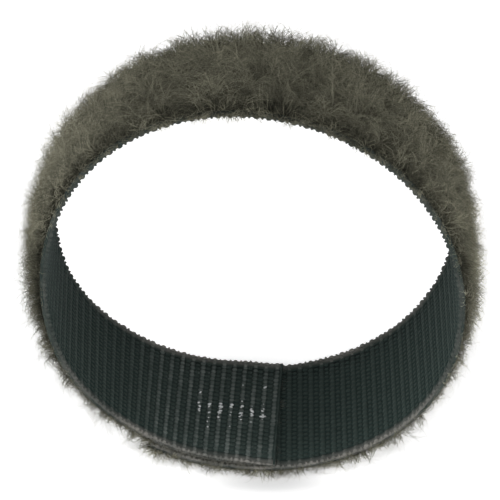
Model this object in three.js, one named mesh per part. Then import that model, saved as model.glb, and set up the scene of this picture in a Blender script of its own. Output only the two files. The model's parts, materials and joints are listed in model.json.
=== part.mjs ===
// A ring of napped loop tape, one turn, lapped at the bottom and standing on its rim.
// The tape is a ribbed woven web between two bound edges, with a nap of loops on its outside.
// Its inner end lies over its outer end on an adhesive film, and peels up inside the ring.
// Millimetres, +Z up. The ring's axis runs along Y, with the front rim at -Y.
import * as THREE from "three";

// Tape
const TAPE_WIDTH = 20;
const SELVEDGE_WIDTH = 1.2;
const WEB_BASE = 0.36;
const RIB_HEIGHT = 0.22;
const SELVEDGE_RIB_HEIGHT = 0.12;
const RIB_PITCH = 1.33;
const RIB_CREST = 0.42;
const RIB_FLANK = 0.2;

// Nap: its full height, the height where it is widest, how far it leans out over each
// selvedge there, and how far the level crown is set in from that widest line
const NAP_HEIGHT = 1.35;
const NAP_SHOULDER = 0.8;
const NAP_FLARE = 0.85;
const NAP_CROWN_INSET = 1.3;

// Ring: the mean radius to the rib crests, how far the top and bottom are pressed in,
// how far the oval leans to the lower right, the same two for its three-sided form,
// and how far all four sides are pressed in
const RING_RADIUS = 23.08;
const OVAL_PRESS = 0.23;
const OVAL_LEAN = 0.38;
const PEAR_PRESS = 0.16;
const PEAR_LEAN = 0.16;
const SQUARE_PRESS = 0.155;
const REST_DEPTH = 0.5;

// Twist: the rear rim lies inside the middle of the tape, and the front rim as far outside it.
// It grows from nothing at the bottom to twice the first value at the top, is less by twice
// the second at the sides, and is more by the third at the upper left and lower right.
const TWIST_TOP = 0.645;
const TWIST_SIDES = 0.36;
const TWIST_LEAN = 0.32;

// Lap: how far the tape overlaps itself, how far past the bottom its inner end reaches,
// the run in which it climbs over the outer end, and how far short of that end it hinges
const LAP_LENGTH = 15.4;
const LAP_REACH = 3.3;
const CLIMB_LENGTH = 16;
const PEEL_SETBACK = 1.2;
const CRUSHED_NAP = 0.16;
const ADHESIVE_THICKNESS = 0.08;
const ADHESIVE_SIDE_MARGIN = 2;
const ADHESIVE_END_MARGIN = 0.6;
const LAP_CLEARANCE = 0.03;

// Facets along the smooth faces
const FACET_LENGTH = 1.05;

const WEB_THICKNESS = WEB_BASE + RIB_HEIGHT;
const NAP_TOP = WEB_THICKNESS + NAP_HEIGHT;
const LAP_STEP = WEB_THICKNESS + CRUSHED_NAP + ADHESIVE_THICKNESS + 2 * LAP_CLEARANCE;
const FRONT = -TAPE_WIDTH / 2;
const REAR = TAPE_WIDTH / 2;
const WEB_HALF = TAPE_WIDTH / 2 - SELVEDGE_WIDTH;

// Angles run along the tape, from the bottom of the ring towards +X. The outer end comes first,
// and the inner end lies one turn and the lap further on.
const angleOf = (arc) => arc / RING_RADIUS;
const TURN = 2 * Math.PI;
const START = angleOf(LAP_REACH - LAP_LENGTH);
const END = TURN + angleOf(LAP_REACH);
const RIB_COUNT = Math.round((END - START) / angleOf(RIB_PITCH));
const RIB_STEP = (END - START) / RIB_COUNT;
const PEEL_RIB = Math.floor((TURN - angleOf(PEEL_SETBACK)) / RIB_STEP);
const PEEL = START + PEEL_RIB * RIB_STEP;

function ringRadius(angle) {
  const oval = OVAL_LEAN * Math.sin(2 * angle) - OVAL_PRESS * Math.cos(2 * angle);
  const pear = PEAR_PRESS * Math.cos(3 * angle) + PEAR_LEAN * Math.sin(3 * angle);
  return RING_RADIUS + oval - pear - SQUARE_PRESS * Math.cos(4 * angle);
}

// The rib crests follow the ring, then climb inwards by one lap step before the peel line.
function crestRadius(angle) {
  const climbed = (angle - PEEL) / angleOf(CLIMB_LENGTH) + 1;
  return ringRadius(angle) - LAP_STEP * THREE.MathUtils.smoothstep(climbed, 0, 1);
}

// How far the twist brings a place across the tape inwards. The bottom stays level, for the lap and the floor.
function twistAt(angle, y) {
  const rise = TWIST_TOP * (1 - Math.cos(angle)) - TWIST_SIDES * (1 - Math.cos(2 * angle));
  return ((rise + TWIST_LEAN * Math.sin(2 * angle)) * y) / REAR;
}

// A point of the tape, offset outwards from the rib crests.
function pointAt(angle, offset, y) {
  const radius = crestRadius(angle) + offset - twistAt(angle, y);
  return new THREE.Vector3(radius * Math.sin(angle), y, -radius * Math.cos(angle));
}

function stations(from, to) {
  const count = Math.max(1, Math.ceil((to - from) / angleOf(FACET_LENGTH)));
  return Array.from({ length: count + 1 }, (_, i) => from + ((to - from) * i) / count);
}

// The woven face across ribs first to last. At a cut end the yarns are sealed level with the crests.
function ribbedEdge(first, last, ribHeight, y) {
  const halfCrest = angleOf(RIB_CREST / 2);
  const halfFoot = angleOf(RIB_CREST / 2 + RIB_FLANK);
  const points = [];
  for (let rib = first; rib < last; rib++) {
    const middle = START + (rib + 0.5) * RIB_STEP;
    points.push(pointAt(middle - halfFoot, ribHeight, y));
    points.push(pointAt(middle - halfCrest, 0, y));
    points.push(pointAt(middle + halfCrest, 0, y));
    points.push(pointAt(middle + halfFoot, ribHeight, y));
  }
  const sealedStart = first === 0;
  const sealedEnd = last === RIB_COUNT;
  if (sealedStart) points.shift();
  if (sealedEnd) points.pop();
  points.unshift(pointAt(START + first * RIB_STEP, sealedStart ? 0 : ribHeight, y));
  points.push(pointAt(START + last * RIB_STEP, sealedEnd ? 0 : ribHeight, y));
  return points;
}

// Joins equal closed sections into one skin, with the same triangles over both end sections.
// Each face is split along its shorter diagonal, so that two layers which touch share their triangles.
function skin(sections, cap) {
  const size = sections[0].length;
  const points = sections.flat();
  const positions = points.flatMap((p) => [p.x, p.y, p.z]);
  const lastRow = (sections.length - 1) * size;
  const index = [];
  for (let row = 0; row < lastRow; row += size) {
    for (let k = 0; k < size; k++) {
      const [a, b] = [row + k, row + ((k + 1) % size)];
      const [c, d] = [b + size, a + size];
      if (points[a].distanceTo(points[c]) < points[b].distanceTo(points[d])) index.push(a, b, c, a, c, d);
      else index.push(a, b, d, b, c, d);
    }
  }
  for (const [a, b, c] of cap) {
    index.push(a, b, c);
    index.push(lastRow + a, lastRow + c, lastRow + b);
  }
  const geometry = new THREE.BufferGeometry();
  geometry.setAttribute("position", new THREE.Float32BufferAttribute(positions, 3));
  geometry.setIndex(index);
  geometry.computeVertexNormals();
  return geometry;
}

// Spans the tape from one place along Y to another, with an outline for each of the two.
function acrossTape(outlineAt, yFrom, yTo) {
  const front = outlineAt(yFrom);
  const sideView = front.map((p) => new THREE.Vector2(p.x, p.z));
  return skin([front, outlineAt(yTo)], THREE.ShapeUtils.triangulateShape(sideView, []));
}

// A woven strip between two ribs, with its smooth side outwards.
function wovenStrip(first, last, ribHeight, yFrom, yTo) {
  const back = stations(START + first * RIB_STEP, START + last * RIB_STEP).reverse();
  const outlineAt = (y) => [
    ...ribbedEdge(first, last, ribHeight, y),
    ...back.map((angle) => pointAt(angle, WEB_THICKNESS, y)),
  ];
  return acrossTape(outlineAt, yFrom, yTo);
}

// A plain layer that follows the tape between two offsets from the rib crests.
function plainLayer(from, to, inside, outside, yFrom, yTo) {
  const angles = stations(from, to);
  const back = angles.toReversed();
  const outlineAt = (y) => [
    ...angles.map((angle) => pointAt(angle, inside, y)),
    ...back.map((angle) => pointAt(angle, outside, y)),
  ];
  return acrossTape(outlineAt, yFrom, yTo);
}

// The nap's section: its root on the web, its widest line, and its level crown.
const NAP_WIDEST = WEB_HALF + NAP_FLARE;
const NAP_CROWN = NAP_WIDEST - NAP_CROWN_INSET;
const NAP_SECTION = [
  [-WEB_HALF, WEB_THICKNESS],
  [-NAP_WIDEST, WEB_THICKNESS + NAP_SHOULDER],
  [-NAP_CROWN, NAP_TOP],
  [NAP_CROWN, NAP_TOP],
  [NAP_WIDEST, WEB_THICKNESS + NAP_SHOULDER],
  [WEB_HALF, WEB_THICKNESS],
];

const NAP_CAP = [1, 2, 3, 4].map((k) => [0, k + 1, k]);

// The nap runs from the outer end to the peel line, and is pressed flat where the ring stands.
const napSections = stations(START, PEEL).map((angle) => NAP_SECTION.map(([y, offset]) => pointAt(angle, offset, y)));
const napBox = new THREE.Box3().setFromPoints(napSections.flat());
const FLOOR = napBox.min.z + REST_DEPTH;
for (const point of napSections.flat()) point.z = Math.max(point.z, FLOOR);

// The film lies on the outer end's rib crests, under the crushed nap of the inner end.
function adhesiveFilm() {
  const from = START + angleOf(ADHESIVE_END_MARGIN);
  const to = END - TURN - angleOf(ADHESIVE_END_MARGIN);
  const half = TAPE_WIDTH / 2 - ADHESIVE_SIDE_MARGIN;
  const outside = -LAP_CLEARANCE;
  return plainLayer(from, to, outside - ADHESIVE_THICKNESS, outside, -half, half);
}

const webMaterial = new THREE.MeshStandardMaterial({ color: 0x222b29, roughness: 0.72, metalness: 0, flatShading: true });
const selvedgeMaterial = new THREE.MeshStandardMaterial({ color: 0x39423e, roughness: 0.75, metalness: 0, flatShading: true });
const napMaterial = new THREE.MeshStandardMaterial({ color: 0x5c5b4e, roughness: 0.95, metalness: 0, flatShading: true });
const crushedMaterial = new THREE.MeshStandardMaterial({ color: 0x474840, roughness: 0.9, metalness: 0, flatShading: true });
const adhesiveMaterial = new THREE.MeshStandardMaterial({ color: 0xb8bcb4, roughness: 0.35, metalness: 0, flatShading: true });

function piece(name, geometry, material) {
  const mesh = new THREE.Mesh(geometry, material);
  mesh.name = name;
  return mesh;
}

// The woven web and its two bound edges, over one stretch of the tape.
function tapeStretch(first, last, prefix) {
  const edge = (yFrom, yTo) => wovenStrip(first, last, SELVEDGE_RIB_HEIGHT, yFrom, yTo);
  const stretch = new THREE.Group();
  const web = wovenStrip(first, last, RIB_HEIGHT, -WEB_HALF, WEB_HALF);
  stretch.add(piece(prefix + "ground_web", web, webMaterial));
  stretch.add(piece(prefix + "front_selvedge", edge(FRONT, -WEB_HALF), selvedgeMaterial));
  stretch.add(piece(prefix + "rear_selvedge", edge(WEB_HALF, REAR), selvedgeMaterial));
  return stretch;
}

const band = tapeStretch(0, PEEL_RIB, "");
band.add(piece("loop_nap", skin(napSections, NAP_CAP), napMaterial));
band.add(piece("lap_adhesive", adhesiveFilm(), adhesiveMaterial));

const lapEnd = tapeStretch(PEEL_RIB, RIB_COUNT, "lap_end_");
const crushed = plainLayer(PEEL, END, WEB_THICKNESS, WEB_THICKNESS + CRUSHED_NAP, -WEB_HALF, WEB_HALF);
lapEnd.add(piece("lap_end_nap", crushed, crushedMaterial));

// The origin lies on the floor, under the middle of the ring.
const tapeRing = new THREE.Group();
tapeRing.add(band, lapEnd);
tapeRing.position.set(-(napBox.min.x + napBox.max.x) / 2, 0, -FLOOR);

export default tapeRing;
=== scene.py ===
# %% [markdown]
# # A ring of napped loop tape
#
# The object is one strip of loop tape: a ribbed, woven back with bound edges and a brushed pile.
# It is curled once round, pile outwards, and its inner end is glued over its outer end.
# Everything is made flat first, as the loom makes it, and a single rule then winds it into the ring.

# %% Load the frame
import json
import math

import bpy
from mathutils import Matrix, Vector


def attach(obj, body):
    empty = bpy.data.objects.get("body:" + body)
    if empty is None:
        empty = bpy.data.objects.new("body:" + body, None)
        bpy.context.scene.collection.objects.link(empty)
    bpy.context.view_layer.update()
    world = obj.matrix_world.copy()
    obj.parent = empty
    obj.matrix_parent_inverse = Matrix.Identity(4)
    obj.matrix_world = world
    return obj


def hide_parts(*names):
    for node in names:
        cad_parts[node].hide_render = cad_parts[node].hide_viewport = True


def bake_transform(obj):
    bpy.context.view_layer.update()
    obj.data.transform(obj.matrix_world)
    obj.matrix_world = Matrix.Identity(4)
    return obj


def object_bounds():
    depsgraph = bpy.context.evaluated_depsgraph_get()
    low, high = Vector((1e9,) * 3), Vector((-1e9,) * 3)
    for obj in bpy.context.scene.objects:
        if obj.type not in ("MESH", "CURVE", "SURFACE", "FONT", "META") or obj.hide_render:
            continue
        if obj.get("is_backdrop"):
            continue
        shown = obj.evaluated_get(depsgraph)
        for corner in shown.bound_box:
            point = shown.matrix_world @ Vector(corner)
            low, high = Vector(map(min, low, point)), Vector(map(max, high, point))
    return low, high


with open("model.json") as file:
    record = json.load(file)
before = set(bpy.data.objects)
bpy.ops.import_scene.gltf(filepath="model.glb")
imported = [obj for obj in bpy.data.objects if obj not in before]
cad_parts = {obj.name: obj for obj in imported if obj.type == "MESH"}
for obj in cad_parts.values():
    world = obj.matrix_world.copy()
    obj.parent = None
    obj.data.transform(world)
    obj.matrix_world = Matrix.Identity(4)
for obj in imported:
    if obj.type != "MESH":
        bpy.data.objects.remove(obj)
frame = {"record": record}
cad_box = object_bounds()
scene = bpy.context.scene
scene.view_settings.view_transform = "Standard"

# %% [markdown]
# ## Sizes of the tape
#
# These are the driving sizes of the solids, in metres, so that each piece lands on the node it dresses.
# Along the tape, a place is its arc from the bottom of the ring, measured on the mean radius.

# %% Tape and ring sizes
MM = 0.001

TAPE_HALF = 10.0 * MM
WEB_HALF = 8.8 * MM
WEB_THICKNESS = 0.58 * MM
RIB_SPACING = 1.33 * MM
RIB_HEIGHT = 0.22 * MM
SELVEDGE_RIB_HEIGHT = 0.12 * MM
NAP_HEIGHT = 1.35 * MM

RING_RADIUS = 23.08 * MM
OVAL_PRESS = 0.23 * MM
OVAL_LEAN = 0.38 * MM
PEAR_PRESS = 0.16 * MM
PEAR_LEAN = 0.16 * MM
SQUARE_PRESS = 0.155 * MM
TWIST_TOP = 0.645 * MM
TWIST_SIDES = 0.36 * MM
TWIST_LEAN = 0.32 * MM

LAP_LENGTH = 15.4 * MM
LAP_REACH = 3.3 * MM
CLIMB_LENGTH = 16.0 * MM
PEEL_SETBACK = 1.2 * MM
CRUSHED_NAP = 0.16 * MM
ADHESIVE_THICKNESS = 0.08 * MM
LAP_CLEARANCE = 0.03 * MM
LAP_STEP = WEB_THICKNESS + CRUSHED_NAP + ADHESIVE_THICKNESS + 2 * LAP_CLEARANCE

TURN = 2 * math.pi * RING_RADIUS
START = LAP_REACH - LAP_LENGTH
END = TURN + LAP_REACH
RIB_COUNT = round((END - START) / RIB_SPACING)
RIB_PITCH = (END - START) / RIB_COUNT
PEEL_RIB = math.floor((TURN - PEEL_SETBACK) / RIB_PITCH)
PEEL = START + PEEL_RIB * RIB_PITCH


def crest_radius(arc):
    """The radius of the rib crests at a place along the tape."""
    angle = arc / RING_RADIUS
    oval = OVAL_LEAN * math.sin(2 * angle) - OVAL_PRESS * math.cos(2 * angle)
    pear = PEAR_PRESS * math.cos(3 * angle) + PEAR_LEAN * math.sin(3 * angle)
    square = SQUARE_PRESS * math.cos(4 * angle)
    climbed = min(max((arc - PEEL) / CLIMB_LENGTH + 1, 0), 1)
    return RING_RADIUS + oval - pear - square - LAP_STEP * climbed * climbed * (3 - 2 * climbed)


# The lap's hinge lies on the rib crests at the peel line, which places the ring's centre.
HINGE = Vector(frame["record"]["behaviour"]["joints"][0]["pos_m"])
PEEL_ANGLE = PEEL / RING_RADIUS
CENTRE_X = HINGE.x - crest_radius(PEEL) * math.sin(PEEL_ANGLE)
CENTRE_Z = HINGE.z + crest_radius(PEEL) * math.cos(PEEL_ANGLE)
print("ribs:", RIB_COUNT, "strip: %.1f mm" % ((END - START) / MM))
print("ring centre: x %.3f z %.3f mm" % (CENTRE_X / MM, CENTRE_Z / MM))

# %% [markdown]
# ## Camera
#
# The camera was fitted to the two rims and to the even spacing of the ribs, so the view is the
# photograph's own.

# %% Camera
IMAGE_SIDE = 500
FOCAL_PIXELS = 3397
SENSOR_WIDTH = 36
CAMERA_ELEVATION = math.radians(32.97)
CAMERA_AZIMUTH = math.radians(0.60)
CAMERA_ROLL = math.radians(0.18)
CAMERA_DISTANCE = 386.9 * MM
AIM = Vector((CENTRE_X - 0.30 * MM, 0, CENTRE_Z + 0.70 * MM))

back = Vector((
    math.sin(CAMERA_AZIMUTH) * math.cos(CAMERA_ELEVATION),
    -math.cos(CAMERA_AZIMUTH) * math.cos(CAMERA_ELEVATION),
    math.sin(CAMERA_ELEVATION),
))
level_right = (-back).cross(Vector((0, 0, 1))).normalized()
level_up = level_right.cross(-back)
right = level_right * math.cos(CAMERA_ROLL) + level_up * math.sin(CAMERA_ROLL)
up = level_up * math.cos(CAMERA_ROLL) - level_right * math.sin(CAMERA_ROLL)
eye = AIM + back * CAMERA_DISTANCE

camera = bpy.data.objects.new("camera", bpy.data.cameras.new("camera"))
camera.data.sensor_width = SENSOR_WIDTH
camera.data.lens = FOCAL_PIXELS / IMAGE_SIDE * SENSOR_WIDTH
camera.data.clip_start = 0.01
camera.data.clip_end = 20
camera.matrix_world = Matrix((
    (right.x, up.x, back.x, eye.x),
    (right.y, up.y, back.y, eye.y),
    (right.z, up.z, back.z, eye.z),
    (0, 0, 0, 1),
))
scene.collection.objects.link(camera)
scene.camera = camera
print("lens: %.1f mm" % camera.data.lens)

# %% [markdown]
# ## Wires for node maths
#
# A node tree is easier to read as sums than as boxes. A Wire holds one output socket, and Python's operators
# on it add Math nodes. Every other node comes from its one method, node.

# %% The Wire class


class Wire:
    """An output socket of a node tree that takes part in Python expressions."""

    def __init__(self, tree, socket=None):
        self.tree = tree
        self.socket = socket

    def node(self, kind, settings=None, inputs=None, output=0):
        """Adds a node, sets it up, feeds its inputs and gives one of its outputs."""
        made = self.tree.nodes.new(kind)
        for name, value in (settings or {}).items():
            if name == "stops":
                self.set_stops(made.color_ramp.elements, value)
            else:
                setattr(made, name, value)
        for name, value in (inputs or {}).items():
            for one in value if isinstance(value, list) else [value]:
                if isinstance(one, Wire):
                    self.tree.links.new(one.socket, made.inputs[name])
                else:
                    made.inputs[name].default_value = one
        return Wire(self.tree, made.outputs[output] if len(made.outputs) else None)

    @staticmethod
    def set_stops(elements, stops):
        while len(elements) < len(stops):
            elements.new(1)
        for element, (position, colour) in zip(elements, stops):
            element.position = position
            element.color = (*colour, 1)

    def other(self, output):
        """Another output of the same node."""
        return Wire(self.tree, self.socket.node.outputs[output])

    def math(self, operation, *rest):
        inputs = dict(enumerate((self, *rest)))
        return self.node("ShaderNodeMath", {"operation": operation}, inputs)

    def reflected(self, operation, first):
        return self.node("ShaderNodeMath", {"operation": operation}, {0: first, 1: self})

    def __add__(self, value):
        return self.math("ADD", value)

    def __radd__(self, value):
        return self.math("ADD", value)

    def __sub__(self, value):
        return self.math("SUBTRACT", value)

    def __rsub__(self, value):
        return self.reflected("SUBTRACT", value)

    def __mul__(self, value):
        return self.math("MULTIPLY", value)

    def __rmul__(self, value):
        return self.math("MULTIPLY", value)

    def __truediv__(self, value):
        return self.math("DIVIDE", value)

    def step(self, low, high, to_low=0.0, to_high=1.0):
        """A smooth step from to_low to to_high, as the value goes from low to high."""
        limits = {0: self, 1: low, 2: high, 3: to_low, 4: to_high}
        return self.node("ShaderNodeMapRange", {"interpolation_type": "SMOOTHSTEP"}, limits)

    def axes(self):
        """The three parts of a vector."""
        x = self.node("ShaderNodeSeparateXYZ", inputs={0: self})
        return x, x.other(1), x.other(2)

    def vector(self, x, y, z):
        return self.node("ShaderNodeCombineXYZ", inputs={0: x, 1: y, 2: z})

    def noise(self, scale, detail=2.0):
        """Noise from 0 to 1 over the vector that this wire carries."""
        inputs = {"Vector": self, "Scale": scale, "Detail": detail}
        return self.node("ShaderNodeTexNoise", inputs=inputs)


# %% [markdown]
# ## Floor and light
#
# The floor is white paper. A glow that only the camera and mirrors see lifts it to the white of a product
# picture, with no more light on the tape. The glow fades at the contact, so the soft shadow there shows.

# %% Floor
FLOOR_HALF = 3.0
FLOOR_GREY = 0.82
FLOOR_GLOW = 0.6
SHADOW_PLACE = Vector((0.7 * MM, -11.0 * MM, 0))
SHADOW_SQUASH = 0.36
SHADOW_CORE = 0.4 * MM
SHADOW_EDGE = 4.2 * MM
FAR_GLOW_FROM = 50 * MM
FAR_GLOW_TO = 300 * MM

floor_mesh = bpy.data.meshes.new("floor")
corners = [(x * FLOOR_HALF, y * FLOOR_HALF, 0) for x, y in ((-1, -1), (1, -1), (1, 1), (-1, 1))]
floor_mesh.from_pydata(corners, [], [(0, 1, 2, 3)])
floor = bpy.data.objects.new("floor", floor_mesh)
scene.collection.objects.link(floor)
floor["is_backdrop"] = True


def new_material(name):
    """An empty material, and a Wire to start its tree from."""
    material = bpy.data.materials.new(name)
    material.use_nodes = True
    material.node_tree.nodes.clear()
    return material, Wire(material.node_tree)


def seen_white(wire):
    """1 for what the camera sees, also in a mirror or through glass, and 0 for the light on the tape."""
    path = wire.node("ShaderNodeLightPath")
    mirrored = path.other("Is Glossy Ray").math("MAXIMUM", path.other("Is Transmission Ray"))
    return path.math("MAXIMUM", mirrored)


floor_paper, wire = new_material("floor_paper")
seen = seen_white(wire)
x, y, _ = wire.node("ShaderNodeTexCoord", output="Object").axes()
place = wire.vector(x * SHADOW_SQUASH, y, 0)
ends = {0: place, 1: SHADOW_PLACE}
away = wire.node("ShaderNodeVectorMath", {"operation": "DISTANCE"}, ends, output=1)
near_glow = away.step(SHADOW_CORE, SHADOW_EDGE, 0.0, FLOOR_GLOW)
far_glow = away.step(FAR_GLOW_FROM, FAR_GLOW_TO, 0.0, 1 - FLOOR_GLOW)
level = near_glow + far_glow
glow_inputs = {"Color": wire.vector(level, level, level), "Strength": seen}
glow = wire.node("ShaderNodeEmission", inputs=glow_inputs)
paper = wire.node("ShaderNodeBsdfDiffuse", inputs={"Color": (FLOOR_GREY, FLOOR_GREY, FLOOR_GREY, 1)})
lit_paper = wire.node("ShaderNodeAddShader", inputs={0: paper, 1: glow})
wire.node("ShaderNodeOutputMaterial", inputs={"Surface": lit_paper})
floor_mesh.materials.append(floor_paper)
print("floor: %.0f m wide" % (2 * FLOOR_HALF))

# %% [markdown]
# The world is a soft tent. It is brighter at its walls than overhead, and white where the camera sees it.

# %% World
WALL_LIGHT = 0.50
OVERHEAD_LIGHT = 0.10
OVERHEAD_FROM = 0.9

world = bpy.data.worlds.new("studio")
scene.world = world
world.use_nodes = True
world.node_tree.nodes.clear()
wire = Wire(world.node_tree)
seen = seen_white(wire)
_, _, climb = wire.node("ShaderNodeTexCoord", output="Generated").axes()
tent = climb.step(0.0, OVERHEAD_FROM, WALL_LIGHT, OVERHEAD_LIGHT)
strength = tent + (1 - tent) * seen
sky = wire.node("ShaderNodeBackground", inputs={"Color": (1, 1, 1, 1), "Strength": strength})
wire.node("ShaderNodeOutputWorld", inputs={"Surface": sky})
print("world:", world.name, len(world.node_tree.nodes), "nodes")

# %% [markdown]
# Three soft lamps stand to the left, to the right and in front. The left one is the strongest.

# %% Lamps


def add_lamp(name, place, side, watts):
    """A square soft lamp that faces the ring."""
    lamp = bpy.data.objects.new(name, bpy.data.lights.new(name, "AREA"))
    lamp.data.size = side
    lamp.data.energy = watts
    lamp.location = place
    lamp.rotation_mode = "QUATERNION"
    lamp.rotation_quaternion = (Vector((0, 0, CENTRE_Z)) - Vector(place)).to_track_quat("-Z", "Y")
    scene.collection.objects.link(lamp)


add_lamp("left_lamp", (-0.55, -0.25, 0.18), side=0.4, watts=3.9)
add_lamp("right_lamp", (0.55, -0.20, 0.20), side=0.4, watts=2.4)
add_lamp("front_lamp", (0.0, -0.50, 0.35), side=0.5, watts=2.6)

# %% [markdown]
# ## Trees that grow pieces
#
# What repeats is made by Geometry Nodes. Each tree has named inputs, and a piece is grown by running a tree
# with its own sizes. The result is kept as a plain mesh, so the modifier can go.

# %% Tree helpers


def tape_tree(name, sizes):
    """A geometry tree with named inputs: the tree, and a Wire for each input."""
    tree = bpy.data.node_groups.new(name, "GeometryNodeTree")
    for label, kind in sizes.items():
        tree.interface.new_socket(label, in_out="INPUT", socket_type="NodeSocket" + kind)
    tree.interface.new_socket("Geometry", in_out="OUTPUT", socket_type="NodeSocketGeometry")
    source = tree.nodes.new("NodeGroupInput")
    return tree, {label: Wire(tree, source.outputs[label]) for label in sizes}


def end_tree(geometry):
    """Sends the geometry out of its tree."""
    geometry.node("NodeGroupOutput", inputs={0: geometry})


def store(geometry, name, kind, value, domain="POINT"):
    """Keeps a field as a named attribute."""
    settings = {"data_type": kind, "domain": domain}
    inputs = {"Geometry": geometry, "Name": name, "Value": value}
    return geometry.node("GeometryNodeStoreNamedAttribute", settings, inputs)


def named(geometry, name, kind="FLOAT"):
    """Reads a named attribute."""
    return geometry.node("GeometryNodeInputNamedAttribute", {"data_type": kind}, {"Name": name})


def chance(geometry, low, high, seed):
    """A random number for each point."""
    inputs = {2: low, 3: high, "Seed": seed}
    return geometry.node("FunctionNodeRandomValue", {"data_type": "FLOAT"}, inputs, output=1)


def join(first, *rest):
    """Joins geometries into one."""
    return first.node("GeometryNodeJoinGeometry", inputs={0: [first, *rest]})


def clothe(geometry, material):
    """The end of every tree: real faces, smooth shading and the material."""
    real = geometry.node("GeometryNodeRealizeInstances", inputs={"Geometry": geometry})
    smooth = real.node("GeometryNodeSetShadeSmooth", inputs={"Geometry": real})
    end_tree(smooth.node("GeometryNodeSetMaterial", inputs={"Geometry": smooth, "Material": material}))


def grow(name, tree, **sizes):
    """Runs a tree with these sizes and keeps the result as a plain mesh object."""
    piece = bpy.data.objects.new(name, bpy.data.meshes.new(name + "_seed"))
    scene.collection.objects.link(piece)
    modifier = piece.modifiers.new("grow", "NODES")
    modifier.node_group = tree
    inputs = [item for item in tree.interface.items_tree if item.in_out == "INPUT"]
    for item in inputs:
        modifier[item.identifier] = sizes[item.name]
    grown = piece.evaluated_get(bpy.context.evaluated_depsgraph_get())
    mesh = bpy.data.meshes.new_from_object(grown)
    mesh.name = name
    piece.modifiers.remove(modifier)
    piece.data = mesh
    mesh.calc_loop_triangles()
    print(name, len(mesh.loop_triangles), "triangles")
    return piece


# %% [markdown]
# ## The rule that winds the tape
#
# A flat place is (arc along the tape, across it, outwards from the rib crests). The rule turns the arc into
# an angle and gives the crests the ring's slightly pressed, leaning oval. The strip is a little twisted: it
# is level at the bottom, and at the top its rear rim lies inside its front rim. Before the peel line the
# tape climbs inwards by one lap step. The glued end also lies a little askew, so its ribs lean, and its cut
# is pressed thin into the layer below. Winding mirrors the flat space, so the faces are turned at the end.

# %% Winding group
LAP_SKEW = math.tan(math.radians(2.55))
SKEW_FROM = PEEL - 9 * MM
SKEW_TO = PEEL + 5 * MM
PRESS_LENGTH = 5 * MM
PRESS_DEPTH = 0.55 * MM
PRESS_SHARE = 0.55

WIND, given = tape_tree("wind_the_ring", {"Flat": "Geometry"})
flat = given["Flat"]
along, across, outward = flat.node("GeometryNodeInputPosition").axes()
arc = along + across * LAP_SKEW * along.step(SKEW_FROM, SKEW_TO)
angle = arc / RING_RADIUS
double = angle * 2
triple = angle * 3
oval = OVAL_LEAN * double.math("SINE") - OVAL_PRESS * double.math("COSINE")
pear = PEAR_PRESS * triple.math("COSINE") + PEAR_LEAN * triple.math("SINE")
square = SQUARE_PRESS * (angle * 4).math("COSINE")
climb = arc.step(PEEL - CLIMB_LENGTH, PEEL, 0, LAP_STEP)
press = along.step(END - PRESS_LENGTH, END)
height = outward * (1 - PRESS_SHARE * press) + PRESS_DEPTH * press
top_twist = TWIST_TOP * (1 - angle.math("COSINE"))
side_twist = TWIST_LEAN * double.math("SINE") - TWIST_SIDES * (1 - double.math("COSINE"))
twist = (top_twist + side_twist) * across / TAPE_HALF
radius = RING_RADIUS + oval - pear - square - climb - twist + height
wound = flat.vector(
    CENTRE_X + radius * angle.math("SINE"),
    across,
    CENTRE_Z - radius * angle.math("COSINE"),
)
bent = flat.node("GeometryNodeSetPosition", inputs={"Geometry": flat, "Position": wound})
end_tree(flat.node("GeometryNodeFlipFaces", inputs={"Mesh": bent}))


def wind(geometry):
    """Adds the winding group to a tree."""
    return geometry.node("GeometryNodeGroup", {"node_tree": WIND}, {0: geometry})


print("winding tree:", len(WIND.nodes), "nodes")

# %% [markdown]
# ## The woven finish
#
# The yarn is a green-black synthetic. Light dust and painted light pale the rib crests, and painted shade
# keeps the valleys and the ends of the yarn bumps nearly black. On the glued end ragged grey stripes run
# along its ribs, handling wear with a painted highlight on the crests, and the whole end is painted a little
# lighter. The weft turns on the rims have faded to a greyish brown, brownest at the bottom and less so
# towards the top. Fine filaments run along the yarns, so the noise for them is stretched along the tape. The
# trees keep what this finish needs as attributes of the mesh.

# %% Woven materials
# The valley colour is painted shade. The grey is handling wear with a painted highlight on the lap end's
# crests.
PAINTED_VALLEY_SHADE = (0.014, 0.022, 0.020, 1)
YARN_GREEN = (0.029, 0.040, 0.036, 1)
WEAR_AND_GLINT_GREY = (0.094, 0.109, 0.102, 1)
RIM_BROWN = (0.182, 0.174, 0.160, 1)
WEAVE_SHINE = 0.03
FILAMENT_SCALE = 9000
# The lap end is painted a little lighter all over, and only there do its crests carry the grey stripes.
WEAR_AND_GLINT_FROM = PEEL - 4 * MM
WEAR_AND_GLINT_TO = PEEL + 6 * MM
PAINTED_LAP_LIGHT = 0.36
STRIPE_HALF = 0.62 * MM
STRIPE_CORE = 0.04 * MM
STRIPE_WANDER = 0.9 * MM
GAP_SHADE = 0.7


def finish_material(wire, colour, roughness, normal=None, alpha=1.0, specular=0.1):
    """Ends a material in one Principled shader."""
    inputs = {"Base Color": colour, "Roughness": roughness, "Alpha": alpha, "Specular IOR Level": specular}
    if normal is not None:
        inputs["Normal"] = normal
    shader = wire.node("ShaderNodeBsdfPrincipled", inputs=inputs)
    wire.node("ShaderNodeOutputMaterial", inputs={"Surface": shader})


def mix_colour(wire, factor, first, second):
    """Mixes two colours."""
    inputs = {0: factor, 6: first, 7: second}
    return wire.node("ShaderNodeMix", {"data_type": "RGBA"}, inputs, output=2)


def attribute(wire, name, output="Fac"):
    """Reads a named attribute of the mesh."""
    return wire.node("ShaderNodeAttribute", {"attribute_name": name}, output=output)


def rib_distance(along):
    """How far a place is from the middle of its rib."""
    share = ((along - START) / RIB_PITCH).math("FRACT") - 0.5
    return share.math("ABSOLUTE") * RIB_PITCH


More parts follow.
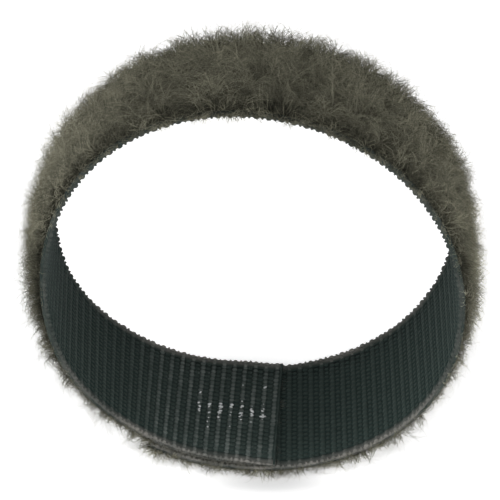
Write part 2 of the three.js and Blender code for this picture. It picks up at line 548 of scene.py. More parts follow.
def woven_material(name):
    """Yarn whose look follows the attributes that the trees keep."""
    material, wire = new_material(name)
    place = attribute(wire, "flat", "Vector")
    crest = attribute(wire, "crest")
    tone = attribute(wire, "tone")
    rim = attribute(wire, "rim")
    gap = attribute(wire, "gap")
    along, across, _ = place.axes()
    filaments = wire.vector(along * 0.25, across, 0).noise(FILAMENT_SCALE, 2)
    patches = place.noise(180, 2)

    # Over the lap end: grey stripes of handling wear with a painted highlight on the crests, and painted
    # light.
    wear_and_glint = along.step(WEAR_AND_GLINT_FROM, WEAR_AND_GLINT_TO) * patches.step(0.3, 0.6, 0.55, 1.0)
    jagged = along + (place.noise(1700, 2) - 0.5) * STRIPE_WANDER
    stripe_patches = place.noise(650, 2).step(0.3, 0.7, 0.45, 1.25)
    ridge = rib_distance(jagged).step(STRIPE_HALF, STRIPE_CORE) * crest.step(0.1, 0.9) * stripe_patches
    crest_tone = mix_colour(wire, wear_and_glint * ridge, YARN_GREEN, WEAR_AND_GLINT_GREY)

    # Light dust and painted light on the crests; painted shade in the valleys and at the bead ends. On the
    # cords and the seal the crest value is their own paler tone.
    dust_and_painted_light = crest.step(0.1, 1.0) * (0.78 + 0.25 * tone) * filaments.step(0.25, 0.75, 0.8, 1.12)
    parted = 1 - GAP_SHADE * gap * (1 - wear_and_glint)
    crest_mix = dust_and_painted_light * (1 - 0.3 * wear_and_glint) * parted + PAINTED_LAP_LIGHT * wear_and_glint
    woven = mix_colour(wire, crest_mix, PAINTED_VALLEY_SHADE, crest_tone)

    # The rim brown is strongest at the bottom of the ring and falls off towards the top.
    bottom_share = (along / RING_RADIUS).math("COSINE").step(0.2, 0.95, 0.24, 1.0)
    faded = rim * filaments.step(0.2, 0.8, 0.6, 1.0) * patches.step(0.35, 0.65, 0.5, 1.0) * bottom_share
    colour = mix_colour(wire, faded, woven, RIM_BROWN)

    bump_inputs = {"Strength": 0.3, "Distance": 0.03 * MM, "Height": filaments}
    relief = wire.node("ShaderNodeBump", inputs=bump_inputs)
    finish_material(wire, colour, 0.8 - 0.2 * crest, relief, specular=WEAVE_SHINE)
    return material


woven_web = woven_material("woven_web")
bound_edge = woven_material("bound_edge")
print("woven materials:", woven_web.name, bound_edge.name)

# %% [markdown]
# ## The ribbed web
#
# On the real tape, stout weft picks lie across and the warp yarns bind them, so each rib is a chain of small
# yarn bumps. A slab with a rounded rib profile carries them, and the same slab, narrower and lower, carries
# the bound edges.

# %% Rib slab
RIB_SAMPLES = 8
SLAB_ROWS = 7
SLAB_CREST_LIGHT = 0.65
RIB_TOP_HALF = 0.12 * MM
RIB_FOOT_HALF = 0.44 * MM
BURIED = 0.05 * MM


def rib_slab(given, middle_y, width, rib_height, rim_from):
    """A flat strip whose inner face carries the ribs."""
    length = given["Ribs"] * RIB_PITCH
    start = given["From"]
    size = start.vector(length, width, WEB_THICKNESS)
    counts = {"Vertices X": given["Ribs"] * RIB_SAMPLES + 1, "Vertices Y": SLAB_ROWS, "Vertices Z": 2}
    block = start.node("GeometryNodeMeshCube", inputs={"Size": size, **counts})
    middle = start.vector(start + length / 2, middle_y, WEB_THICKNESS / 2)
    placed = start.node("GeometryNodeTransform", inputs={"Geometry": block, "Translation": middle})
    x, y, z = start.node("GeometryNodeInputPosition").axes()
    valley = rib_distance(x).step(RIB_TOP_HALF, RIB_FOOT_HALF)
    inner = start.vector(x, y, BURIED + (rib_height - BURIED) * valley)
    is_inner = z.math("LESS_THAN", WEB_THICKNESS / 2)
    shaped = {"Geometry": placed, "Selection": is_inner, "Position": inner}
    ribbed = start.node("GeometryNodeSetPosition", inputs=shaped)
    # The crest attribute paints light on the rib tops and shade down in the valleys; the outer face gets
    # none.
    shaded = store(ribbed, "crest", "FLOAT", SLAB_CREST_LIGHT * (1 - valley) * is_inner)
    toned = store(shaded, "tone", "FLOAT", 0.5)
    return store(toned, "rim", "FLOAT", y.math("ABSOLUTE").step(rim_from, TAPE_HALF))


def keep_flat(geometry):
    """Keeps each place on the flat tape, for the materials."""
    real = geometry.node("GeometryNodeRealizeInstances", inputs={"Geometry": geometry})
    return store(real, "flat", "FLOAT_VECTOR", real.node("GeometryNodeInputPosition"))


print("ribs: %.2f mm apart" % (RIB_PITCH / MM))

# %% [markdown]
# The warp floats cross the valleys as dark bars, half a step aside from the bumps on the ribs. Both repeat
# thousands of times, so Geometry Nodes sets two kinds of small beads on a lattice. Each bead carries painted
# light, palest on the side that faces into the ring, and painted shade at its two ends, where it dives under
# its neighbour. The floats get less of the painted light than the bumps.

# %% Web tree
WARP_COUNT = 22
WARP_PITCH = 2 * WEB_HALF / WARP_COUNT
BEAD_SIDES = 6
BEAD_RINGS = 4
CREST_RADII = (0.37 * MM, 0.41 * MM, 0.11 * MM)
FLOAT_RADII = (0.34 * MM, 0.34 * MM, 0.10 * MM)


def bead(start, crest, rim=0.0):
    """One yarn bump."""
    sizes = {"Segments": BEAD_SIDES, "Rings": BEAD_RINGS, "Radius": 1}
    ball = start.node("GeometryNodeMeshUVSphere", inputs=sizes)
    _, y, z = start.node("GeometryNodeInputPosition").axes()
    # Painted light on the side that faces into the ring, and painted shade at the two ends.
    shaded = store(ball, "crest", "FLOAT", z.step(0.9, -0.9, 0, crest))
    parted = store(shaded, "gap", "FLOAT", y.math("ABSOLUTE").step(0.3, 0.9))
    return store(parted, "rim", "FLOAT", rim)


def set_beads(start, points, ball, radii, seed):
    """Sets a bump on each point, each with its own tone and a slight turn."""
    toned = store(points, "tone", "FLOAT", chance(start, 0.0, 1.0, seed))
    turn = start.vector(0, 0, chance(start, -0.16, 0.16, seed + 1))
    swell = chance(start, 0.88, 1.12, seed + 2)
    size = start.node("ShaderNodeVectorMath", {"operation": "SCALE"}, {0: radii, "Scale": swell})
    inputs = {"Points": toned, "Instance": ball, "Rotation": turn, "Scale": size}
    return start.node("GeometryNodeInstanceOnPoints", inputs=inputs)


def bead_lattice(start, columns, first, depth, wander, seed):
    """Points over the web, with every second column half a step aside."""
    grid_inputs = {
        "Size X": (columns - 1) * RIB_PITCH,
        "Size Y": (WARP_COUNT - 1) * WARP_PITCH,
        "Vertices X": columns,
        "Vertices Y": WARP_COUNT,
    }
    grid = start.node("GeometryNodeMeshGrid", inputs=grid_inputs)
    x, y, _ = start.node("GeometryNodeInputPosition").axes()
    column = (x / RIB_PITCH + columns / 2 - 0.5).math("ROUND")
    aside = (column.math("MODULO", 2) - 0.5) * (WARP_PITCH / 2)
    middle = first + (columns - 1) * RIB_PITCH / 2
    place = start.vector(
        x + middle + chance(start, -wander, wander, seed),
        y + aside + chance(start, -wander, wander, seed + 1),
        depth,
    )
    return start.node("GeometryNodeSetPosition", inputs={"Geometry": grid, "Position": place})


web_sizes = {"From": "Float", "Ribs": "Int", "Valleys": "Int", "Material": "Material"}
WEAVE, given = tape_tree("weave_the_web", web_sizes)
start = given["From"]
rib = start + RIB_PITCH / 2
valley = start + RIB_PITCH
slab = rib_slab(given, 0, 2 * WEB_HALF, RIB_HEIGHT * 0.6, rim_from=WEB_HALF)
crest_points = bead_lattice(start, given["Ribs"], rib, depth=0.11 * MM, wander=0.035 * MM, seed=11)
crests = set_beads(start, crest_points, bead(start, 1.0), CREST_RADII, seed=13)
float_points = bead_lattice(start, given["Valleys"], valley, depth=0.12 * MM, wander=0.03 * MM, seed=21)
floats = set_beads(start, float_points, bead(start, 0.75), FLOAT_RADII, seed=23)
clothe(wind(keep_flat(join(slab, crests, floats))), given["Material"])
print("weaving tree:", len(WEAVE.nodes), "nodes")

# %% [markdown]
# The tape is dressed in two stretches. The lap stretch starts some ribs before the peel line, because the
# tape bends there when the end is lifted. Both stretches meet rib to rib, so no seam shows.

# %% Web pieces
SPLIT_RIB = PEEL_RIB - 6
SPLIT = START + SPLIT_RIB * RIB_PITCH
LAP_RIBS = RIB_COUNT - SPLIT_RIB
main_web = grow("main_web", WEAVE, From=START, Ribs=SPLIT_RIB, Valleys=SPLIT_RIB, Material=woven_web)
lap_web = grow("lap_web", WEAVE, From=SPLIT, Ribs=LAP_RIBS, Valleys=LAP_RIBS - 1, Material=woven_web)

# %% [markdown]
# ## The bound edges
#
# Each edge is bound: the weft turns back round the outermost warp cords. From the side that gives one broad
# and one small tooth to each rib, and the cords show as paler lines along the rim.

# %% Edge tree
EDGE_WIDTH = TAPE_HALF - WEB_HALF
CORD_RADIUS = 0.10 * MM
CORD_SAMPLES = 4
CORD_SIDES = 6
CORD_DRIFT = 0.16 * MM
CORD_WAVE = 0.04 * MM
RIB_END_RADII = (0.30 * MM, 0.46 * MM, 0.24 * MM)
TURN_RADII = (0.34 * MM, 0.24 * MM, 0.24 * MM)
KNOT_RADII = (0.16 * MM, 0.20 * MM, 0.24 * MM)


def edge_cord(given, y, depth, phase):
    """One warp cord that runs along the edge and dips between the ribs."""
    start = given["From"]
    length = given["Ribs"] * RIB_PITCH
    y = given["Side"] * y
    ends = {"Start": start.vector(start, y, depth), "End": start.vector(start + length, y, depth)}
    line = start.node("GeometryNodeCurvePrimitiveLine", inputs=ends)
    count = given["Ribs"] * CORD_SAMPLES + 1
    sampled = start.node("GeometryNodeResampleCurve", inputs={"Curve": line, "Count": count})
    place = start.node("GeometryNodeInputPosition")
    x, _, _ = place.axes()
    wave = ((x - START) * (2 * math.pi / RIB_PITCH) + phase).math("COSINE")
    drift = (place.noise(420, 1) - 0.5) * CORD_DRIFT
    waved = start.vector(0, drift, wave * CORD_WAVE)
    laid = start.node("GeometryNodeSetPosition", inputs={"Geometry": sampled, "Offset": waved})
    ring_inputs = {"Resolution": CORD_SIDES, "Radius": CORD_RADIUS}
    ring = start.node("GeometryNodeCurvePrimitiveCircle", inputs=ring_inputs)
    tube_inputs = {"Curve": laid, "Profile Curve": ring, "Fill Caps": True}
    tube = start.node("GeometryNodeCurveToMesh", inputs=tube_inputs)
    pale = start.node("GeometryNodeInputPosition").noise(300, 2).step(0.4, 0.65, 0.3, 1.2)
    shaded = store(store(tube, "crest", "FLOAT", pale), "tone", "FLOAT", 0.8)
    return store(shaded, "rim", "FLOAT", pale * 0.5)


def edge_row(given, columns, first, y, depth, wander, seed):
    """One row of points along the rim."""
    start = given["From"]
    line_inputs = {
        "Count": columns,
        "Start Location": start.vector(first, given["Side"] * y, depth),
        "Offset": (RIB_PITCH, 0, 0),
    }
    line = start.node("GeometryNodeMeshLine", inputs=line_inputs)
    nudge = start.vector(chance(start, -wander, wander, seed), chance(start, -wander, wander, seed + 1), 0)
    return start.node("GeometryNodeSetPosition", inputs={"Geometry": line, "Offset": nudge})


edge_sizes = {"From": "Float", "Ribs": "Int", "Valleys": "Int", "Side": "Float", "Material": "Material"}
BIND, given = tape_tree("bind_the_edge", edge_sizes)
start = given["From"]
ribs = given["Ribs"]
rib = start + RIB_PITCH / 2
valley = start + RIB_PITCH
edge_middle = given["Side"] * ((WEB_HALF + TAPE_HALF) / 2)
edge_rib = SELVEDGE_RIB_HEIGHT - 0.04 * MM
strip = rib_slab(given, edge_middle, EDGE_WIDTH, edge_rib, rim_from=WEB_HALF - 0.1 * MM)
rib_points = edge_row(given, ribs, rib, 9.2 * MM, depth=0.20 * MM, wander=0.04 * MM, seed=31)
rib_ends = set_beads(start, rib_points, bead(start, 0.9, rim=0.5), RIB_END_RADII, seed=33)
turn_points = edge_row(given, ribs, rib, 9.88 * MM, depth=0.07 * MM, wander=0.06 * MM, seed=41)
turns = set_beads(start, turn_points, bead(start, 0.8, rim=1.0), TURN_RADII, seed=43)
knot_points = edge_row(given, given["Valleys"], valley, 9.90 * MM, depth=0.08 * MM, wander=0.07 * MM, seed=51)
knots = set_beads(start, knot_points, bead(start, 0.6, rim=1.0), KNOT_RADII, seed=53)
cords = [
    edge_cord(given, 9.62 * MM, depth=0.15 * MM, phase=0.0),
    edge_cord(given, 9.93 * MM, depth=0.33 * MM, phase=2.0),
    edge_cord(given, 9.93 * MM, depth=0.50 * MM, phase=4.0),
]
clothe(wind(keep_flat(join(strip, rib_ends, turns, knots, *cords))), given["Material"])
print("binding tree:", len(BIND.nodes), "nodes")

# %% [markdown]
# The front and the rear edge come from the same tree, on either side of the tape, and in the web's two
# stretches.

# %% Edge pieces
edges = {}
for side, label in ((-1.0, "front"), (1.0, "rear")):
    main = {"From": START, "Ribs": SPLIT_RIB, "Valleys": SPLIT_RIB, "Side": side, "Material": bound_edge}
    lap = {"From": SPLIT, "Ribs": LAP_RIBS, "Valleys": LAP_RIBS - 1, "Side": side, "Material": bound_edge}
    edges["main", label] = grow(f"main_{label}_edge", BIND, **main)
    edges["lap", label] = grow(f"lap_{label}_edge", BIND, **lap)

# %% [markdown]
# ## The sealed cut
#
# The inner end was cut straight across and its yarns were sealed together, so a smooth, paler bead runs along
# the cut. It is one cord from rim to rim.

# %% Sealed cut
SEAL_RADIUS = 0.14 * MM
SEAL_SAMPLES = 60
SEAL_SIDES = 8
SEAL_WANDER = 0.12 * MM

SEAL, given = tape_tree("seal_the_cut", {"Place": "Float", "Material": "Material"})
start = given["Place"]
seal_ends = {
    "Start": start.vector(start, -TAPE_HALF, SEAL_RADIUS),
    "End": start.vector(start, TAPE_HALF, SEAL_RADIUS),
}
line = start.node("GeometryNodeCurvePrimitiveLine", inputs=seal_ends)
sampled = start.node("GeometryNodeResampleCurve", inputs={"Curve": line, "Count": SEAL_SAMPLES})
ragged = (start.node("GeometryNodeInputPosition").noise(900, 2) - 0.5) * SEAL_WANDER
waved = {"Geometry": sampled, "Offset": start.vector(ragged, 0, ragged * 0.5)}
laid = start.node("GeometryNodeSetPosition", inputs=waved)
ring_inputs = {"Resolution": SEAL_SIDES, "Radius": SEAL_RADIUS}
ring = start.node("GeometryNodeCurvePrimitiveCircle", inputs=ring_inputs)
tube_inputs = {"Curve": laid, "Profile Curve": ring, "Fill Caps": True}
tube = start.node("GeometryNodeCurveToMesh", inputs=tube_inputs)
pale = start.node("GeometryNodeInputPosition").noise(500, 2).step(0.3, 0.7, 0.3, 0.7)
shaded = store(store(tube, "crest", "FLOAT", pale), "tone", "FLOAT", 0.6)
clothe(wind(keep_flat(shaded)), given["Material"])
sealed_cut = grow("sealed_cut", SEAL, Place=END - SEAL_RADIUS, Material=woven_web)

# %% [markdown]
# ## The brushed pile
#
# Loop tape has soft loops that are brushed until they stand as a fuzz of curled fibres. Hair would be lost on
# export, so each fibre is a thin closed cone of a few faces.
#
# The pile's colour only depends on how far along a fibre a place is and on the fibre's tone. The darkening
# towards the roots is painted shade deep in the pile, and both values also carry painted light and shade.
# Those two are kept as the UV map, so that the finish survives a bake without a picture of every hair.

# %% Pile material
PILE_UV = "OFBake"
DULL_OLIVE = (0.012, 0.0125, 0.009, 1)
DULL_SHARE = 0.8


def pile_material(name, root, middle, tip):
    """Fibres that pale from root to tip, the dark roots a painted shade, with dull ones among them."""
    material, wire = new_material(name)
    tone, height, _ = wire.node("ShaderNodeUVMap", {"uv_map": PILE_UV}).axes()
    ramp_settings = {"stops": [(0.0, root), (0.5, middle), (1.0, tip)]}
    shade = wire.node("ShaderNodeValToRGB", ramp_settings, {"Fac": height})
    dull = mix_colour(wire, DULL_SHARE, shade, DULL_OLIVE)
    colour = mix_colour(wire, tone, dull, shade)
    finish_material(wire, colour, 0.9 - 0.1 * height)
    return material


brushed_pile = pile_material(
    "brushed_pile",
    root=(0.040, 0.040, 0.029),
    middle=(0.310, 0.300, 0.220),
    tip=(0.700, 0.674, 0.515),
)
# The crushed pile is set lighter at its roots than the brushed pile: painted light in the shaded gap between
# the two layers of the lap.
crushed_pile = pile_material(
    "crushed_pile",
    root=(0.060, 0.059, 0.050),
    middle=(0.240, 0.234, 0.200),
    tip=(0.420, 0.410, 0.350),
)
print("pile materials:", brushed_pile.name, crushed_pile.name)

# %% [markdown]
# A point is scattered for each root, densest along the borders and at the outer end. At the two sides of the
# ring the borders are worn bare. Neighbours share a tuft, which is one cell of a Voronoi pattern.

# %% Pile roots
FRINGE = 1.2 * MM
FAN = 1.0 * MM
TUFTS_PER_METRE = 950
START_CROWD = 2.5
BORDER_CROWD = 3.0
SIDE_BARENESS = 0.97
LAP_PILE_END = PEEL + 1.5 * MM

pile_sizes = {
    "From": "Float",
    "To": "Float",
    "Front": "Float",
    "Rear": "Float",
    "Bed": "Float",
    "Length": "Float",
    "Rise": "Float",
    "Width": "Float",
    "Density": "Float",
    "Seed": "Int",
    "Material": "Material",
}
BRUSH, given = tape_tree("brush_the_pile", pile_sizes)
start = given["From"]
length = given["To"] - start
width = given["Front"] + given["Rear"]
seed = given["Seed"]

patch_inputs = {"Size X": length, "Size Y": width, "Vertices X": 12, "Vertices Y": 60}
patch = start.node("GeometryNodeMeshGrid", inputs=patch_inputs)
middle = start.vector(start + length / 2, given["Rear"] - width / 2, WEB_THICKNESS)
patch = start.node("GeometryNodeTransform", inputs={"Geometry": patch, "Translation": middle})

place = start.node("GeometryNodeInputPosition")
along, across, _ = place.axes()
border = across.math("ABSOLUTE")
turned = along / RING_RADIUS
lowness = turned.math("COSINE")
sides = (1 - (turned * 2).math("COSINE")) / 2
folded = border.step(TAPE_HALF - FAN, TAPE_HALF)

at_start = along.step(START + FRINGE, START, 1.0, START_CROWD)
at_border = border.step(TAPE_HALF - 0.8 * MM, TAPE_HALF, 1.0, BORDER_CROWD)
bare = SIDE_BARENESS * sides * border.step(TAPE_HALF - 0.5 * MM, TAPE_HALF - 0.1 * MM)
crowd = given["Density"] * at_start * at_border * (1 - bare)
scatter = {"Mesh": patch, "Density": crowd, "Seed": seed}
roots = start.node("GeometryNodeDistributePointsOnFaces", inputs=scatter)

tuft_inputs = {"Vector": place, "Scale": TUFTS_PER_METRE}
tuft = start.node("ShaderNodeTexVoronoi", inputs=tuft_inputs, output="Color")
tuft_turn, tuft_curl, tuft_tone = tuft.axes()
print("pile tree with its roots:", len(BRUSH.nodes), "nodes")

# %% [markdown]
# Every root learns how its fibre will grow. Fibres are cut short along the borders and in the rows that the
# loom left near the front rim, and a few strays are long and thin. The pile also grows unevenly round the
# ring, as in the photograph: fuller low on the left, shorter on the lower right.

# %% Fibre lengths
LONGEST_REACH = 2.0

near_front = across.step(-3.5 * MM, -9.5 * MM)
row = (1 + ((along - START) * (2 * math.pi / RIB_PITCH)).math("COSINE")) / 2
cleft = near_front * row * (0.4 + 0.6 * tuft_curl)

under = lowness.step(0.90, 0.98)
topped = turned.step(1.9, 2.5) * turned.step(3.9, 3.2)
lower_right = turned.step(0.7, 1.1) * turned.step(2.1, 1.5)
low_sides = lowness.step(0.55, 0.8) * lowness.step(0.98, 0.9)
fluff = 1.12 + 0.16 * (turned * 4).math("COSINE") - 0.14 * lowness + 0.14 * topped
fluff = fluff - 0.2 * lower_right + 0.4 * low_sides

lumps = place.noise(480, 2).step(0.3, 0.7, 0.85, 1.12) * (0.6 + 0.8 * tuft_tone)
stray = 1 + chance(start, 0.0, 1.0, seed + 1).step(0.80, 1.0, 0.0, 0.9) * (1 - 0.8 * under)
border_cut = across.step(0, -MM, 0.25, 0.5) * (1 + 0.75 * sides + 0.4 * under * given["Rise"])
trimmed = (1 - border_cut * folded) * (1 - 0.35 * cleft)
wanted = chance(start, 0.6, 1.15, seed + 2) * fluff * lumps * stray * trimmed
reach = given["Length"] * wanted.math("MINIMUM", LONGEST_REACH)
print("pile tree with its lengths:", len(BRUSH.nodes), "nodes")

# %% [markdown]
# The tone is the fibre's own, in small patches. Painted shade darkens the rows near the front, and painted
# light makes strays and folded borders paler, the borders most at the bottom and a little darker at the top.
# How pale the tips get depends on the place round the ring, which paints light and shade: darkest at the top,
# dimmer from the far left down past the bottom to the upper right, and lighter again at the right side. All
# of it is stored on the roots, so that each fibre can read it.

# %% Fibre tones
mottle = place.noise(750, 1).step(0.38, 0.62, 0.2, 1.35)
# Painted shade in the rows near the front; painted light on folded borders and strays.
painted_row_shade = across.step(2 * MM, -6 * MM) * row * (0.6 + 0.4 * tuft_curl)
tone_and_row_shade = (tuft_tone * 0.75 + chance(start, 0.0, 0.6, seed + 5)) * mottle * (1.12 - 0.95 * painted_row_shade)
painted_border_light = folded * lowness.step(-0.5, 1.0, -0.1, 0.3)
painted_stray_light = 0.5 * (stray - 1)

# Painted light and shade round the ring, kept as how pale the tips get.
painted_side_light = lowness.step(-1.05, -0.4, 0.60, 1.0)
painted_right_shade = (turned + 0.9).math("SINE").step(-1.0, 0.3, 1.0, 0.85) * turned.step(2.25, 2.0, 1.0, 0.80)
painted_right_light = 1 + 0.8 * turned.step(1.85, 1.6) * turned.step(0.8, 1.2)
painted_left_shade = turned.step(4.15, 4.5, 1.0, 0.60)

facts = {
    "reach": reach,
    "slim": 1.7 - 0.7 * stray,
    "swirl": tuft_turn * (2 * math.pi) + chance(start, -1.9, 1.9, seed + 3),
    "curl": 0.7 + 0.8 * tuft_curl + chance(start, 0.0, 1.5, seed + 4),
    "gather": 0.3 + 0.55 * tuft_curl,
    "pale": painted_side_light * painted_right_shade * painted_right_light * painted_left_shade,
    "fold": folded,
    "tone": tone_and_row_shade + painted_border_light + painted_stray_light,
}
over = (border - TAPE_HALF).math("MAXIMUM", 0.0)
root = start.vector(along, across - across.math("SIGN") * over, WEB_THICKNESS - over)
roots = store(roots, "root", "FLOAT_VECTOR", root)
roots = store(roots, "tuft", "FLOAT_VECTOR", tuft.other("Position"))
for label, value in facts.items():
    roots = store(roots, label, "FLOAT", value)
print("facts on each root:", list(facts))

# %% [markdown]
# One straight cone, one unit high, is set on every root. Then each is bent into an arc: it rises, reaches out
# along its swirl, and its tip gathers with its tuft, which leaves the dark gaps of brushed pile. Along the
# borders the fibres fan out over the edge, and at both ends of the pile they lean over it as a fringe.

# %% Bent fibres
FIBRE_SIDES = 3
FIBRE_STEPS = 3
FRONT_FAN = math.radians(100)
REAR_FAN = math.radians(50)
OUTER_FRINGE_LEAN = -1.5 * MM
INNER_FRINGE_LEAN = 1.1 * MM

cone_inputs = {
    "Vertices": FIBRE_SIDES,
    "Side Segments": FIBRE_STEPS,
    "Radius Top": 0.0,
    "Radius Bottom": given["Width"] * 0.5,
    "Depth": 1.0,
}
cone = start.node("GeometryNodeMeshCone", {"fill_type": "NGON"}, cone_inputs)
cone = store(cone, "rim", "FLOAT_VECTOR", start.node("GeometryNodeInputPosition"))
instances = start.node("GeometryNodeInstanceOnPoints", inputs={"Points": roots, "Instance": cone})
fibres = start.node("GeometryNodeRealizeInstances", inputs={"Geometry": instances})

rim_x, rim_y, height = named(start, "rim", "FLOAT_VECTOR").axes()
rim_x = rim_x * named(start, "slim")
rim_y = rim_y * named(start, "slim")
root_x, root_y, root_z = named(start, "root", "FLOAT_VECTOR").axes()
tuft_x, tuft_y, _ = named(start, "tuft", "FLOAT_VECTOR").axes()

reach = named(start, "reach")
curl = named(start, "curl")
bend = curl * height
rise = reach * bend.math("SINE") / curl - rim_x * bend.math("SINE")
out = reach * (1 - bend.math("COSINE")) / curl + rim_x * bend.math("COSINE")
gather = height * height * named(start, "gather")
fold = named(start, "fold")
lean = fold * root_y.step(-MM, MM, -FRONT_FAN, REAR_FAN) * (0.6 + 0.4 * given["Rise"])
lean_sine = lean.math("SINE")
lean_cosine = lean.math("COSINE")
swirl = named(start, "swirl")
swirl_sine = swirl.math("SINE")
swirl_cosine = swirl.math("COSINE")
lifted = rise * (given["Rise"] + (1 - given["Rise"]) * fold)
aside = out * swirl_sine + rim_y * swirl_cosine
outer_fringe = root_x.step(START, START + FRINGE, OUTER_FRINGE_LEAN, 0)
inner_fringe = root_x.step(LAP_PILE_END - FRINGE, LAP_PILE_END, 0, INNER_FRINGE_LEAN)
fringe = (outer_fringe + inner_fringe) * given["Rise"] * height
bent = start.vector(
    root_x + out * swirl_cosine - rim_y * swirl_sine + gather * (tuft_x - root_x) + fringe,
    root_y + lifted * lean_sine + aside * lean_cosine + gather * (tuft_y - root_y) * (1 - fold),
    root_z + given["Bed"] * 0.2 * (1 - fold) + lifted * lean_cosine - aside * lean_sine,
)
fibres = start.node("GeometryNodeSetPosition", inputs={"Geometry": fibres, "Position": bent})
# The ramp place is scaled by the painted light and shade round the ring.
fibre_uv = start.vector(named(start, "tone"), height * named(start, "pale"), 0)
fibres = store(fibres, PILE_UV, "FLOAT2", fibre_uv, "CORNER")
print("pile tree with its fibres:", len(BRUSH.nodes), "nodes")

# %% [markdown]
# Below the fibres lies a bed of crossing threads, lumpy on top and rounded towards the edges. The whole pile
# is then wound, and pressed flat where the ring stands, so that its border spreads there.

# %% Bed and press
BED_HALF = 9.4 * MM
BED_STEP = 0.3 * MM
BED_SHOULDER = 1.4 * MM
BED_TONE = 0.4
FLOOR_SOFTNESS = 0.2 * MM
SPREAD_FROM = 6 * MM
SPREAD_SHARE = 0.7

bed_inputs = {
    "Size": start.vector(length, BED_HALF * 2, 1.0),
    "Vertices X": (length / BED_STEP).math("CEIL"),
    "Vertices Y": round(BED_HALF * 2 / BED_STEP),
    "Vertices Z": 2,
}
bed = start.node("GeometryNodeMeshCube", inputs=bed_inputs)
x, y, z = start.node("GeometryNodeInputPosition").axes()
x = x + start + length / 2
grain = start.vector(x, y, 0)
hump = grain.noise(1500, 2) * 0.9 + grain.noise(420, 1) * 0.5
shoulder = y.math("ABSOLUTE").step(BED_HALF, BED_HALF - BED_SHOULDER, 0.3, 1.0)
is_top = z.math("GREATER_THAN", 0)
bed_place = start.vector(x, y, WEB_THICKNESS + is_top * given["Bed"] * hump * shoulder)
bed = start.node("GeometryNodeSetPosition", inputs={"Geometry": bed, "Position": bed_place})
_, _, z = start.node("GeometryNodeInputPosition").axes()
# The bed reads the colour ramp by its height, so it is darker low down: painted shade under the fibres.
bed_uv = start.vector(BED_TONE, (z - WEB_THICKNESS) / NAP_HEIGHT * 0.5, 0)
bed = store(bed, PILE_UV, "FLOAT2", bed_uv, "CORNER")

ring = wind(join(fibres, bed))
x, y, z = start.node("GeometryNodeInputPosition").axes()
pressed = (z + (z * z + FLOOR_SOFTNESS * FLOOR_SOFTNESS).math("SQRT")) / 2
share = y.math("ABSOLUTE").step(SPREAD_FROM, TAPE_HALF, 0, SPREAD_SHARE)
spread = (pressed - z) * y.math("SIGN") * share
settled = {"Geometry": ring, "Position": start.vector(x, y + spread, pressed)}
clothe(start.node("GeometryNodeSetPosition", inputs=settled), given["Material"])
print("whole pile tree:", len(BRUSH.nodes), "nodes")

# %% [markdown]
# The main turn's pile is grown in sectors, so that no piece gets too heavy. In the lap the pile is crushed:
# it is shorter, lies flat and is of a duller grey.

# %% Pile pieces
PILE_SECTORS = 9
FIBRES_PER_MM2 = 28
fibre_density = FIBRES_PER_MM2 / MM**2
pile_look = {
    "Front": TAPE_HALF + 0.22 * MM,
    "Rear": TAPE_HALF - 0.15 * MM,
    "Bed": 0.45 * MM,
    "Length": NAP_HEIGHT * 1.95,
    "Rise": 1.0,
    "Width": 0.056 * MM,
    "Density": fibre_density,
    "Material": brushed_pile,
}
piles = []
for sector in range(PILE_SECTORS):
    begin = START + (SPLIT - START) * sector / PILE_SECTORS
    finish = START + (SPLIT - START) * (sector + 1) / PILE_SECTORS
    sizes = {"From": begin, "To": finish, "Seed": 100 + 10 * sector, **pile_look}
    piles.append(grow(f"pile_{sector + 1}", BRUSH, **sizes))
lap_pile = grow("lap_pile", BRUSH, **{"From": SPLIT, "To": LAP_PILE_END, "Seed": 300, **pile_look})
crushed_look = {
    **pile_look,
    "Front": TAPE_HALF + 0.45 * MM,
    "Rear": TAPE_HALF - 0.3 * MM,
    "Bed": 0.12 * MM,
    "Length": 1.5 * MM,
    "Rise": 0.12,
    "Density": fibre_density * 0.6,
    "Material": crushed_pile,
}
crushed = {"From": LAP_PILE_END, "To": END - 0.2 * MM, "Seed": 400, **crushed_look}
lap_pile_crushed = grow("lap_pile_crushed", BRUSH, **crushed)

# %% [markdown]
# ## Adhesive
#
# A dried, nearly clear film holds the lap. It lies on the outer end's ribs and only shows when the inner end
# is lifted.

# %% Adhesive film
FILM_SAMPLES = 60
FILM_INSET = 0.6 * MM
FILM_HALF = 8 * MM

adhesive, wire = new_material("dried_adhesive")
place = wire.node("ShaderNodeTexCoord", output="Object")
streaks = place.noise(700, 3)
haze = mix_colour(wire, streaks, (0.16, 0.17, 0.155, 1), (0.44, 0.46, 0.42, 1))
finish_material(wire, haze, 0.35, alpha=streaks.step(0.35, 0.65, 0.22, 0.62), specular=0.4)

film_sizes = {"From": "Float", "To": "Float", "Half Width": "Float", "Material": "Material"}
SPREAD, given = tape_tree("spread_the_film", film_sizes)
start = given["From"]
length = given["To"] - start
film_inputs = {
    "Size": start.vector(length, given["Half Width"] * 2, 1.0),
    "Vertices X": FILM_SAMPLES,
    "Vertices Y": FILM_SAMPLES,
    "Vertices Z": 2,
}
film = start.node("GeometryNodeMeshCube", inputs=film_inputs)
x, y, z = start.node("GeometryNodeInputPosition").axes()
x = x + start + length / 2
thickness = start.vector(x, y, 0).noise(600, 2).step(0.25, 0.75, 0.25, 1.0) * ADHESIVE_THICKNESS
ragged = 1 - 0.14 * start.vector(x, y.math("SIGN") * MM, 0).noise(350, 2)
inner = z.math("LESS_THAN", 0) * thickness
film_place = start.vector(x, y * ragged, -LAP_CLEARANCE - inner)
film = start.node("GeometryNodeSetPosition", inputs={"Geometry": film, "Position": film_place})
clothe(wind(film), given["Material"])
film_look = {
    "From": START + FILM_INSET,
    "To": LAP_REACH - FILM_INSET,
    "Half Width": FILM_HALF,
    "Material": adhesive,
}
lap_film = grow("lap_film", SPREAD, **film_look)

# %% [markdown]
# A few flecks of the same adhesive have dried on the crests of the inner end, where fingers touched it. They
# are small flattened beads, scattered at random over a few ribs.

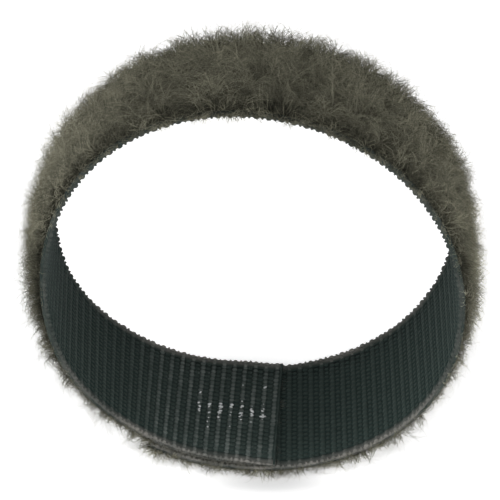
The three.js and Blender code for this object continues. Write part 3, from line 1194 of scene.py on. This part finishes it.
# %% Adhesive flecks
FLECK_COUNT = 64
FLECK_RIBS = 7
FLECK_MIDDLE = -0.5 * MM
FLECK_NEAR = 0.9 * MM
FLECK_FAR = 5 * MM
FLECK_SMALLEST = 0.06 * MM
FLECK_SWELL = 0.15 * MM

flecks_material, wire = new_material("adhesive_flecks")
place = wire.node("ShaderNodeTexCoord", output="Object")
fleck_tone = mix_colour(wire, place.noise(2500, 2), (0.20, 0.21, 0.21, 1), (0.75, 0.77, 0.78, 1))
finish_material(wire, fleck_tone, 0.5, specular=0.3)

FLECK, given = tape_tree("drop_the_flecks", {"Count": "Int", "Seed": "Int", "Material": "Material"})
seed = given["Seed"]
dots = seed.node("GeometryNodeMeshLine", inputs={"Count": given["Count"]})
rib = chance(seed, 1.0, FLECK_RIBS + 0.99, seed).math("FLOOR")
drift = chance(seed, -1.0, 1.0, seed + 1)
far = chance(seed, 0.0, 1.0, seed + 2)
across = FLECK_MIDDLE + drift * (FLECK_NEAR + far * far * far * FLECK_FAR)
along = END - (rib + 0.5) * RIB_PITCH + chance(seed, -0.12 * MM, 0.12 * MM, seed + 3)
dot_place = {"Geometry": dots, "Position": seed.vector(along, across, 0.01 * MM)}
dots = seed.node("GeometryNodeSetPosition", inputs=dot_place)
ball_inputs = {"Segments": BEAD_SIDES, "Rings": BEAD_RINGS, "Radius": 1}
ball = seed.node("GeometryNodeMeshUVSphere", inputs=ball_inputs)
big = chance(seed, 0.0, 1.0, seed + 4)
size = FLECK_SMALLEST + FLECK_SWELL * big * big
turn = seed.vector(0, 0, chance(seed, 0.0, 3.1, seed + 5))
fleck_inputs = {
    "Points": dots,
    "Instance": ball,
    "Rotation": turn,
    "Scale": seed.vector(size, size * chance(seed, 1.0, 2.4, seed + 6), size * 0.5),
}
drops = seed.node("GeometryNodeInstanceOnPoints", inputs=fleck_inputs)
real = seed.node("GeometryNodeRealizeInstances", inputs={"Geometry": drops})
clothe(wind(real), given["Material"])
flecks = grow("adhesive_flecks", FLECK, Count=FLECK_COUNT, Seed=7, Material=flecks_material)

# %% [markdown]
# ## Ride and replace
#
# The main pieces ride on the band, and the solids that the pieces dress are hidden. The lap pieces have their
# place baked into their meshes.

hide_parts("ground_web")
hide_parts("lap_end_ground_web")
for (stretch, label), piece in edges.items():
    prefix = "" if stretch == "main" else "lap_end_"
    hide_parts(f"{prefix}{label}_selvedge")
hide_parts("loop_nap")
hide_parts("lap_end_nap")
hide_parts("lap_adhesive")

for piece in (main_web, edges["main", "front"], edges["main", "rear"], lap_film, *piles):
    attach(piece, "band")
lap_edges = (edges["lap", "front"], edges["lap", "rear"])
for piece in (lap_web, sealed_cut, *lap_edges, lap_pile, lap_pile_crushed, flecks):
    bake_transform(piece)

# %% [markdown]
#
# The dressed ring has to stay within the box of the solids, apart from a little fuzz. Both boxes, of the
# solids and of the dressed ring, are kept.

# %% Sizes and finish
dressed_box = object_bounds()
sizes = {"cad": [list(corner) for corner in cad_box], "visual": [list(corner) for corner in dressed_box]}
for label, (low, high) in sizes.items():
    print(label, ["%.2f..%.2f mm" % (a / MM, b / MM) for a, b in zip(low, high)])
